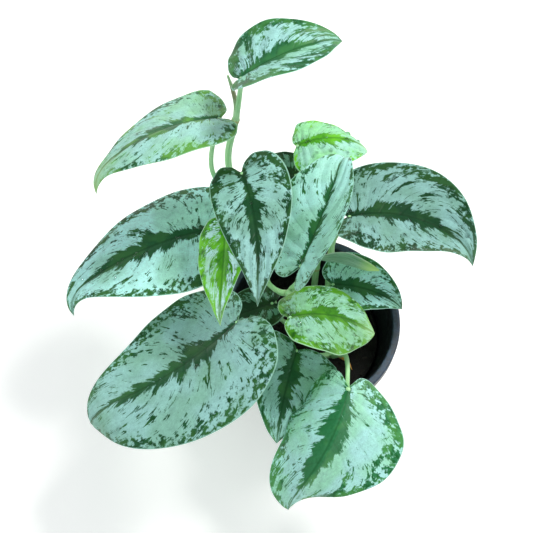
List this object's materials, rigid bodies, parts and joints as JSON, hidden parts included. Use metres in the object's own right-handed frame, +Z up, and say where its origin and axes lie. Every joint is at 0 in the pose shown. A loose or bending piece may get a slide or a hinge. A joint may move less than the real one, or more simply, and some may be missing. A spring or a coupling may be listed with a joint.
{
  "type": "potted pothos plant",
  "caption": "Satin pothos with silver-splashed heart-shaped leaves on arching petioles, planted in a round tapered nursery pot with a hooked rim.",
  "frame": {"origin": "centre of the pot's underside, on the surface the pot stands on", "axes": "+Z up along the pot's axis, +X to the right, -Y towards the front, where the drooping leaf hangs over the rim"},
  "size_m": [0.2353, 0.2343, 0.2537],
  "materials": {
    "pot": "black moulded plastic, dusty and scuffed on the rim",
    "potting_mix": "dark damp potting mix of bark and peat",
    "stem": "pale green, smooth, slightly waxy",
    "blade": "satin dark green with silver splashes",
    "young_blade": "satin lime green with pale splashes",
    "sheath": "dry yellow-orange leaf sheath"
  },
  "bodies": {
    "root": {"nursery_pot": "pot", "potting_mix": "potting_mix", "stem_tall": "stem", "stem_middle": "stem", "stem_front": "stem", "stem_back": "stem", "stem_right": "stem", "stem_left": "stem", "petiole_top": "stem", "petiole_upper_left": "stem", "petiole_left": "stem", "petiole_centre": "stem", "petiole_centre_right": "stem", "petiole_right": "stem", "petiole_back_young": "stem", "petiole_back_shaded": "stem", "petiole_rim_right": "stem", "petiole_young_left": "stem", "petiole_largest": "stem", "petiole_young_front": "stem", "petiole_front_shaded": "stem", "petiole_front": "stem", "petiole_inner_shaded": "stem", "blade_top": "blade", "blade_upper_left": "blade", "blade_left": "blade", "blade_centre": "blade", "blade_centre_right": "blade", "blade_right": "blade", "blade_back_young": "young_blade", "blade_back_shaded": "blade", "blade_rim_right": "blade", "blade_young_left": "young_blade", "blade_largest": "blade", "blade_young_front": "young_blade", "blade_front_shaded": "blade", "blade_front": "blade", "blade_inner_shaded": "blade", "rolled_leaf": "young_blade", "new_shoot": "stem", "middle_sheath": "sheath", "front_sheath": "sheath"}
  },
  "joints": []
}
